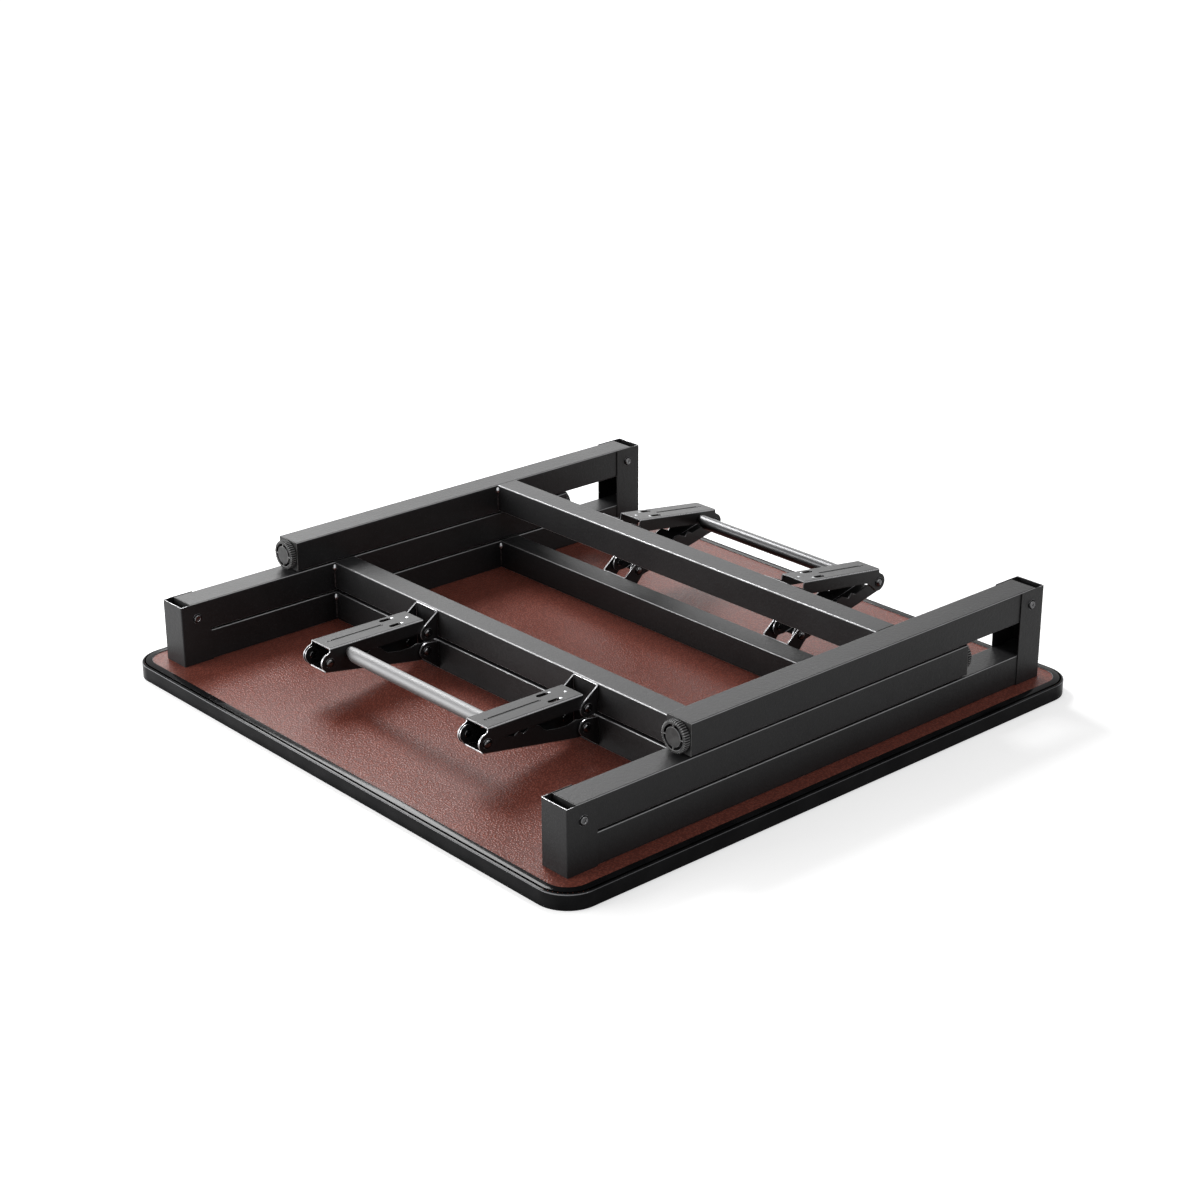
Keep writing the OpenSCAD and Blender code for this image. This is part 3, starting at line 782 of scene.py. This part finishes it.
def knurled_foot():
    """Screwed foot, its sole at the origin facing -Z, with the stem along +Z."""
    rim = FOOT_RADIUS
    stem = 5 * MM
    outline = [(0, 0.15 * MM), (9.8 * MM, 0.15 * MM), (10.6 * MM, 0), (SOLE_DISC - 0.5 * MM, 0)]
    outline += [(SOLE_DISC, 0.5 * MM), (SOLE_DISC, GROOVE_DEPTH), (SOLE_GROOVE, GROOVE_DEPTH)]
    outline += [(SOLE_GROOVE, 0.6 * MM), (SOLE_GROOVE + 0.5 * MM, 0), (rim - 2.2 * MM, 0)]
    outline += [(rim - 1.1 * MM, 0.4 * MM), (rim, 1.5 * MM), (rim, FOOT_THICKNESS - 1.2 * MM)]
    outline += [(rim - 1.2 * MM, FOOT_THICKNESS), (stem, FOOT_THICKNESS), (stem, 41 * MM)]
    outline += [(4 * MM, 43 * MM), (0, 43 * MM)]
    foot = lathe("knurled_foot", outline, KNURLS * KNURL_STEPS)
    open_mesh(foot)

    def in_notch(v):
        step = round(degrees(v.co.xy.angle_signed(Vector((1, 0)))) / 360 * KNURLS * KNURL_STEPS)
        return v.co.xy.length > rim - 1.15 * MM and step % KNURL_STEPS < 2

    pick("verts", lambda v: v.co.xy.length > 1e-6 and in_notch(v))
    bpy.ops.transform.resize(value=(0.91, 0.91, 1), center_override=(0, 0, 0))
    close_mesh()
    for finish in (FINISHES["plastic"], WORN_AND_HIGHLIT_PLASTIC, SOLE_PLASTIC, FINISHES["trim"]):
        foot.data.materials.append(finish)
    edges = ((SOLE_DISC - 0.6 * MM, SOLE_DISC), (SOLE_GROOVE, SOLE_GROOVE + 0.6 * MM),
             (rim - 1.9 * MM, rim - 0.5 * MM))

    def in_groove(f):
        place = middle(f)
        across = SOLE_DISC - TOUCH < place.xy.length < SOLE_GROOVE + TOUCH
        return across and place.z < GROOVE_DEPTH + 0.1 * MM

    # Light plastic on the sole's edge rings and the knurl crests: wear and painted highlight
    def rubbed_and_highlit_edges(f):
        place = middle(f)
        radius = place.xy.length
        on_sole = place.z < MM and any(low < radius < high for low, high in edges)
        on_crest = radius > rim - 0.25 * MM and place.z < FOOT_THICKNESS - 1 * MM
        return on_crest or on_sole

    paint(foot, 2, lambda f: middle(f).z < 0.3 * MM)
    # Groove walls in black gloss, darker than the body: painted shade in the groove
    paint(foot, 3, in_groove)
    paint(foot, 1, rubbed_and_highlit_edges)
    ridge = block("groove_ridge", (SOLE_DISC - 0.2 * MM, -0.5 * MM, 0.3 * MM),
                  (SOLE_GROOVE + 0.2 * MM, 0.5 * MM, 2.4 * MM))
    ridges = []
    for quarter in range(4):
        copy = twin(ridge, "groove_ridge_here")
        copy.rotation_euler = (0, 0, quarter * pi / 2)
        settle(copy)
        # The groove ridges in light plastic too: wear and painted highlight
        copy.data.materials.append(WORN_AND_HIGHLIT_PLASTIC)
        ridges.append(copy)
    bpy.data.objects.remove(ridge)
    return fuse(foot, *ridges)


def feet():
    foot = knurled_foot()
    for leg, outwards in (("inner", 1), ("outer", -1)):
        for hand in ("left", "right"):
            node = f"{leg}_{hand}_foot"
            low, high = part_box(node)
            sole = high.y if outwards > 0 else low.y
            here = twin(foot, "knurled_" + node)
            turned(here, (0, -outwards, 0), ((low.x + high.x) / 2, sole, (low.z + high.z) / 2))
            dress(here, "plastic", node, angle=30)
    bpy.data.objects.remove(foot)


# Braces: bent sheet channels drawn across X, along Y, with +Z towards the board

def channel(name, outline, half_width, sheet, web_faces, bend=LINK_BEND):
    """Block of an outline of which only the cheeks and the web stay, bent round and thickened."""
    piece = profile_block(name, outline, -half_width, half_width)
    pick("faces", lambda f: abs(f.normal.x) < 0.9 and not web_faces(f))
    bpy.ops.mesh.delete(type="FACE")
    pick("edges", lambda e: not e.is_boundary and abs(middle(e).x) > half_width - TOUCH)
    bpy.ops.mesh.bevel(offset=bend, segments=4, affect="EDGES")
    close_mesh()
    sheet_metal(piece, sheet, "brace_coat")
    return piece


def slot_cutter(x, start, end, width, low, high):
    """Cutter with round ends, from start to end along a link and from low to high across it."""
    radius = width / 2
    place = (x, start + radius, (low + high) / 2)
    cutter = cylinder("slot_cutter", 24, radius, high - low, place)
    open_mesh(cutter)
    pick("verts", lambda v: v.co.y > start + radius - 1e-6)
    bpy.ops.transform.translate(value=(0, end - start - width, 0))
    close_mesh()
    return cutter


# Cuts in the web of an upper link, in mm: place across it, start, end, width and depth.
# The two slots go through the sheet; the long groove and the small dent don't.
WEB_CUTS = ((-10.5, 34, 51, 6.4, 3), (10.5, 34, 51, 6.4, 3), (0, 54, 133, 4, 0.8),
            (0, 135, 138.4, 3.3, 1.5))
# Places of the small bumps in bright zinc, which are painted highlight spots
DIMPLES = ((-10.5, 31.5), (10.5, 31.5), (0, 15.5))


def upper_link():
    """Channel with its web away from the board, a pressed groove and two slots."""
    web = -UPPER_WEB_AT
    web_start = 5 * MM
    web_end = LINK_LENGTH - 1 * MM
    cheek_edge = -1 * MM
    relief = 2.6 * MM
    relief_at = web + 3.6 * MM
    outline = [(web_start, web), (web_end, web), (web_end, relief_at)]
    outline += arc((web_end + relief, relief_at), relief, 180, 105, 3)[1:]
    outline += arc((LINK_LENGTH, 0), LINK_END, -76, 98, 14)
    outline += [(LINK_LENGTH - 14 * MM, 3.4 * MM), (LINK_LENGTH - 23 * MM, cheek_edge)]
    outline += [(9 * MM, cheek_edge), (web_start, -5 * MM)]
    link = channel("upper_link", outline, UPPER_HALF_WIDTH, LINK_SHEET, faces_towards((0, 0, -1)))
    for across, start, end, width, depth in WEB_CUTS:
        cutter = slot_cutter(across * MM, start * MM, end * MM, width * MM, web - MM, web + depth * MM)
        cut_out(link, cutter)
    ease_edges(link, SHEET_EDGE)
    bumps = [dimple(across * MM, along * MM, web) for across, along in DIMPLES]
    return fuse(link, *bumps)


def dimple(x, along, web):
    """Small bump on the web of an upper link, in bright zinc as a painted highlight spot."""
    profile = ((0, 0.3), (2.1, 0.3), (2.1, 0.1), (1.6, -0.2), (0.9, -0.38), (0, -0.45))
    bump = lathe("dimple", [(radius * MM, height * MM) for radius, height in profile], 16)
    bump.location = (x, along, web)
    settle(bump)
    bump.data.materials.append(FINISHES["zinc"])
    return bump


# The wavy edge of a lower link's cheeks, in mm along the link and across it
CHEEK_WAVE = ((137, -4.5), (108, -3), (104, -6), (102, -8), (99, -6.5), (95, -4), (88, -9), (84, -12),
              (78, -12), (70, -10), (64, -5), (58, -3), (40, -3), (26, -5), (14, -10))
# Where along it the cheeks' cut edges keep the coat and get no painted highlight
EDGES_WITHOUT_HIGHLIGHT = ((-3 * MM, 95 * MM), (109 * MM, 143 * MM))


def lower_link():
    """Channel with its web towards the board and a wavy edge on its cheeks."""
    web = LOWER_WEB_AT
    eye = LINK_END - 1 * MM
    outline = [(11 * MM, web), (LINK_LENGTH + 1.5 * MM, web)]
    outline += arc((LINK_LENGTH, 0), eye, 48, -90, 12)
    outline += [(along * MM, across * MM) for along, across in CHEEK_WAVE]
    outline += arc((0, 0), eye, -60, -270, 16)
    link = channel("lower_link", outline, LOWER_HALF_WIDTH, LINK_SHEET, faces_towards(UP))
    paint(link, 0, lambda f: any(start < middle(f).y < end for start, end in EDGES_WITHOUT_HIGHLIGHT))
    ease_edges(link, SHEET_EDGE)
    return link


def laid_along(piece, start, end, x):
    """Moves a link made along +Y from the origin, to lie from start to end in the plane at x."""
    along = (end - start).normalized()
    board_side = Vector((0, along.z, -along.y))
    if board_side.z > 0:
        board_side.negate()
    turn = Matrix((along.cross(board_side), along, board_side)).transposed()
    piece.matrix_world = Matrix.Translation((x, start.y, start.z)) @ turn.to_4x4()
    settle(piece)
    return piece


def links(leg, upper, lower):
    """The leg's two upper and two lower links, each from its pivot to the elbow."""
    elbow = axis_of(leg + "_elbow_rivets")
    upper_pivot = axis_of(leg + "_leg_bracket_rivets")
    lower_pivot = axis_of(PIVOT_END[leg] + "_lower_rivets")
    for kind, pattern, pivot in (("upper", upper, upper_pivot), ("lower", lower, lower_pivot)):
        pair = [laid_along(twin(pattern, "link_here"), pivot, elbow, x) for x in (-BRACE_X, BRACE_X)]
        both = fuse(*pair)
        both.name = f"{leg}_pressed_{kind}_links"
        dress(both, "brace_coat", f"{leg}_{kind}_links")


def handle_bar(leg, finish=None):
    """Tube between the two upper links, with its ends pressed narrow."""
    node = leg + "_handle_bar"
    low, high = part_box(node)
    pressed = 15 * MM
    squeeze = ((0.985, 0.2), (0.95, 0.6), (0.9, 0.9), (0.86, 0.9), (0.83, 0.6))
    bar = cylinder(leg + "_grab_bar", 40, HANDLE_RADIUS, high.x - low.x - 2 * pressed)
    turned(bar, X_AXIS)
    open_mesh(bar)
    step = pressed / len(squeeze)
    for side in (-1, 1):
        pick("faces", faces_towards((side, 0, 0)))
        for narrow, lift in squeeze:
            extrude((side * step, 0, -lift * MM))
            bpy.ops.transform.resize(value=(1, narrow, narrow))
    close_mesh()
    laid_along(bar, axis_of(leg + "_leg_bracket_rivets"), axis_of(leg + "_elbow_rivets"), 0)
    centre = sum((v.co for v in bar.data.vertices), Vector()) / len(bar.data.vertices)
    bar.location = axis_of(node) - Vector((0, centre.y, centre.z))
    settle(bar)
    dress(bar, "handle", node, finish, angle=30)


# Brackets and rivets

def tangent_point(point, centre, radius, side):
    """Where the line from a point touches a circle, on its left (1) or right (-1)."""
    reach = centre - point
    swing = Matrix.Rotation(side * asin(radius / reach.length), 2)
    return point + swing @ reach.normalized() * sqrt(reach.length_squared - radius ** 2)


def bracket(face, top, foot, pivot, side):
    """Bent bracket on a bar: ears from top and foot of its back plate, round the pivot."""
    pivot = Vector((pivot.y, pivot.z))
    first = tangent_point(Vector((face, top)), pivot, EAR_RADIUS, side)
    last = tangent_point(Vector((face, foot)), pivot, EAR_RADIUS, -side)
    start = degrees((first - pivot).angle_signed(Vector((1, 0))))
    end = degrees((last - pivot).angle_signed(Vector((1, 0))))
    if side > 0 and end > start:
        end -= 360
    if side < 0 and end < start:
        end += 360
    outline = [(face, top)] + arc(pivot, EAR_RADIUS, start, end, 14) + [(face, foot)]
    back = faces_towards((0, -side, 0))
    return channel("bracket", outline, BRACKET_HALF_WIDTH, BRACKET_SHEET, back, BRACKET_BEND)


def brackets(node, face, top, foot, pivot, side):
    """The two brackets of a bar, left and right."""
    one = bracket(face, top, foot, pivot, side)
    ease_edges(one, SHEET_EDGE)
    pair = [moved(one, "bracket_here", (x, 0, 0)) for x in (-BRACE_X, BRACE_X)]
    bpy.data.objects.remove(one)
    both = fuse(*pair)
    both.name = "bent_" + node
    dress(both, "brace_coat", node)


def leg_and_rail_brackets(leg):
    end = PIVOT_END[leg]
    side = PIVOT_SIDE[leg]
    low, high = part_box(leg + "_leg_crossbar")
    face = high.y if side > 0 else low.y
    pivot = axis_of(leg + "_leg_bracket_rivets")
    brackets(leg + "_leg_brackets", face, high.z - 1.5 * MM, low.z + 1.5 * MM, pivot, side)
    low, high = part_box(end + "_cross_rail")
    face = high.y if side > 0 else low.y
    pivot = axis_of(end + "_lower_rivets")
    brackets(end + "_lower_brackets", face, high.z - 1 * MM, low.z + 1.5 * MM, pivot, side)


def domed_rivet(out, inner_end, tail=True, shoulder=None):
    """Rivet along +Z with its washer's flat side at out; inner_end is where its stem ends."""
    stem = 3 * MM
    collar = 5.2 * MM
    head = 4.6 * MM
    washer = 6.6 * MM
    washer_top = out + 0.8 * MM
    outline = [(0, inner_end)]
    if tail:
        outline = [(0, inner_end - 1.4 * MM), (head - 0.4 * MM, inner_end - 1.4 * MM),
                   (head, inner_end - 1.0 * MM), (head, inner_end)]
    outline.append((stem, inner_end))
    if shoulder:
        start, end = shoulder
        outline += [(stem, start), (collar, start), (collar, end), (stem, end)]
    outline += [(stem, out), (washer, out), (washer, out + 0.5 * MM), (washer - 0.3 * MM, washer_top)]
    outline += [(head + 0.2 * MM, washer_top)]
    angles = [radians(12 * i) for i in range(1, 8)]
    outline += [(head * cos(a), out + 0.9 * MM + 1.9 * MM * sin(a)) for a in angles]
    outline.append((0, out + 2.8 * MM))
    rivet = lathe("domed_rivet", outline, 32)
    two_tone(rivet, "black_zinc", "trim", head + 0.1 * MM)
    return rivet


def rivets(node, pattern):
    """Four rivets of one pattern on an axis, one through each cheek of the two braces."""
    place = axis_of(node)
    parts = []
    for x in (-BRACE_X, BRACE_X):
        for side in (-1, 1):
            here = twin(pattern, "rivet_here")
            parts.append(turned(here, (side, 0, 0), (x, place.y, place.z)))
    bpy.data.objects.remove(pattern)
    group = fuse(*parts)
    group.name = "domed_" + node
    dress(group, "black_zinc", node, angle=30)


def brace_rivets():
    ear = BRACKET_HALF_WIDTH
    ear_inside = ear - BRACKET_SHEET
    inside = 15.95 * MM
    for leg, end in PIVOT_END.items():
        rivets(leg + "_leg_bracket_rivets", domed_rivet(ear, ear_inside, tail=False))
        rivets(end + "_lower_rivets", domed_rivet(ear, inside, shoulder=(18.05 * MM, ear_inside)))
        rivets(leg + "_elbow_rivets", domed_rivet(UPPER_HALF_WIDTH, inside))


# Weld beads

def weld_bead(height):
    """Rippled bead up a corner, with a thick end at the top in bright zinc as a painted highlight spot.
    """
    ripples = 14
    radius = 1.35 * MM
    thickest_at = 0.86
    outline = [(0, 0)]
    for i in range(2 * ripples + 1):
        share = i / (2 * ripples)
        swell = 1.9 * MM * max(0, 1 - abs(share - thickest_at) / 0.2)
        ripple = 0.2 * MM if i % 2 else 0
        outline.append((radius + swell + ripple, height * (0.02 + 0.96 * share)))
    outline.append((0, height))
    bead = lathe("weld_bead", outline, 16)
    bead.data.materials.append(WELD)
    bead.data.materials.append(FINISHES["zinc"])
    # Bright zinc on the top end: a painted highlight spot
    paint(bead, 1, lambda f: middle(f).z > height * 0.76)
    return bead


def weld_beads(node, bars):
    """A bead up each of the four corners of every bar."""
    parts = []
    inset = 2.5 * MM
    for bar in bars:
        low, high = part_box(bar)
        bead = weld_bead(high.z - low.z - 2 * inset)
        for x in (low.x, high.x):
            for y in (low.y, high.y):
                parts.append(moved(bead, "bead_here", (x, y, low.z + inset)))
        bpy.data.objects.remove(bead)
    group = fuse(*parts)
    group.name = "rippled_" + node
    dress(group, "frame_coat", node, angle=60)


# CAD nodes that keep their shape

SLOT_BY_ENDING = {
    ("laminate",): "face",
    ("board",): "core",
    ("lining",): "lining",
    ("trim",): "trim",
    ("rivets", "bolts", "nuts", "screws"): "black_zinc",
    ("sleeves",): "zinc",
    ("handle_bar",): "handle",
    ("plugs", "caps", "foot"): "plastic",
    ("links", "brackets"): "brace_coat",
}


def slot_of(name):
    for endings, slot in SLOT_BY_ENDING.items():
        if name.endswith(endings):
            return slot
    return "frame_coat"


def coat_cad_nodes():
    for name, node in frame["nodes"].items():
        node.data.materials.clear()
        node.data.materials.append(FINISHES[slot_of(name)])


# Floor, light and camera

def floor():
    """Pale floor: near white to the camera, darker in reflections, and it takes the shadow."""
    bpy.ops.object.select_all(action="DESELECT")
    bpy.ops.mesh.primitive_plane_add(size=60, location=(0, 0, cad_box[0][2] - 0.3 * MM))
    ground = active()
    ground.name = "pale_floor"
    finish = Finish("pale_floor", roughness=0.9)
    finish.set("Specular IOR Level", 0)
    finish.set("Base Color", (0.80, 0.80, 0.80))
    finish.set("Emission Color", (1, 1, 1))
    seen = finish.node("LightPath", output="Is Camera Ray")
    mirrored = finish.node("LightPath", output="Is Glossy Ray")
    through = finish.node("LightPath", output="Is Transmission Ray")
    distance = finish.node("VectorMath", {"operation": "LENGTH"}, {0: finish.place}, "Value")
    away = distance.between(0.6, 2.4)
    finish.set("Emission Strength", seen * (0.48 + away * 0.36) + (mirrored + through) * 0.1)
    ground.data.materials.append(finish.material)


def sky():
    """White to the camera and in reflections, and dimmer as a light."""
    as_light = 0.32
    world = bpy.data.worlds.new("studio")
    bpy.context.scene.world = world
    world.use_nodes = True
    tree = world.node_tree
    paths = tree.nodes.new("ShaderNodeLightPath")
    seen = None
    for kind in ("Is Camera Ray", "Is Glossy Ray", "Is Transmission Ray"):
        either = tree.nodes.new("ShaderNodeMath")
        either.operation = "MAXIMUM"
        either.inputs[0].default_value = as_light
        if seen:
            tree.links.new(seen, either.inputs[0])
        tree.links.new(paths.outputs[kind], either.inputs[1])
        seen = either.outputs[0]
    tree.links.new(seen, tree.nodes["Background"].inputs["Strength"])
    tree.nodes["Background"].inputs["Color"].default_value = (1, 1, 1, 1)


def lamp(name, place, target, size, power):
    light = bpy.data.lights.new(name, "AREA")
    light.shape = "RECTANGLE"
    light.size, light.size_y = size
    light.energy = power
    holder = bpy.data.objects.new(name, light)
    holder.location = place
    holder.rotation_euler = (Vector(target) - Vector(place)).to_track_quat("-Z", "Y").to_euler()
    holder.visible_camera = False
    bpy.context.scene.collection.objects.link(holder)


def camera():
    """Looks down at the table over its near right corner, as the photograph does."""
    azimuth, downwards, roll = 48.403, 22.197, -0.215
    lens_data = bpy.data.cameras.new("camera")
    lens_data.lens = 70.27
    lens_data.sensor_width = 36
    lens_data.clip_end = 200
    holder = bpy.data.objects.new("camera", lens_data)
    holder.location = (2.0556, -1.8212, 1.2335)
    holder.rotation_euler = (radians(90 - downwards), 0, radians(azimuth))
    holder.rotation_euler.rotate_axis("Z", radians(roll))
    bpy.context.scene.collection.objects.link(holder)
    bpy.context.scene.camera = holder


coat_cad_nodes()
edge_trim()
for end, towards in (("near", 1), ("far", -1)):
    for hand in ("left", "right"):
        post(f"{end}_{hand}_post", towards)
pivot_bolts()
feet()
upper_pattern = upper_link()
lower_pattern = lower_link()
for leg in PIVOT_END:
    links(leg, upper_pattern, lower_pattern)
    leg_and_rail_brackets(leg)
    plug_lips(leg)
    weld_beads(leg + "_leg_weld_beads", [leg + "_leg_crossbar"])
for pattern in (upper_pattern, lower_pattern):
    bpy.data.objects.remove(pattern)
handle_bar("inner")
# The far bar gets the dark copy of the handle finish: painted shade
handle_bar("outer", FAR_HANDLE_SHADED)
brace_rivets()
weld_beads("frame_weld_beads", ["near_cross_rail", "far_cross_rail"])
floor()
sky()
lamp("key", (-2.1, 0.5, 2.2), (0, 0, 0.1), (1.0, 1.0), 82)
lamp("overhead", (0.3, 0.4, 2.6), (0, 0, 0), (1.6, 1.6), 8)
lamp("back", (-2.4, 1.85, 1.2), (0, 0, 0.1), (2.2, 1.3), 17)
lamp("front", (-1.4, -2.7, 0.75), (0, 0, 0.1), (2.4, 1.3), 100)
lamp("side", (2.3, 0.2, 1.6), (0, 0, 0.1), (0.3, 0.3), 8)
camera()

bpy.context.scene.view_settings.view_transform = "Standard"
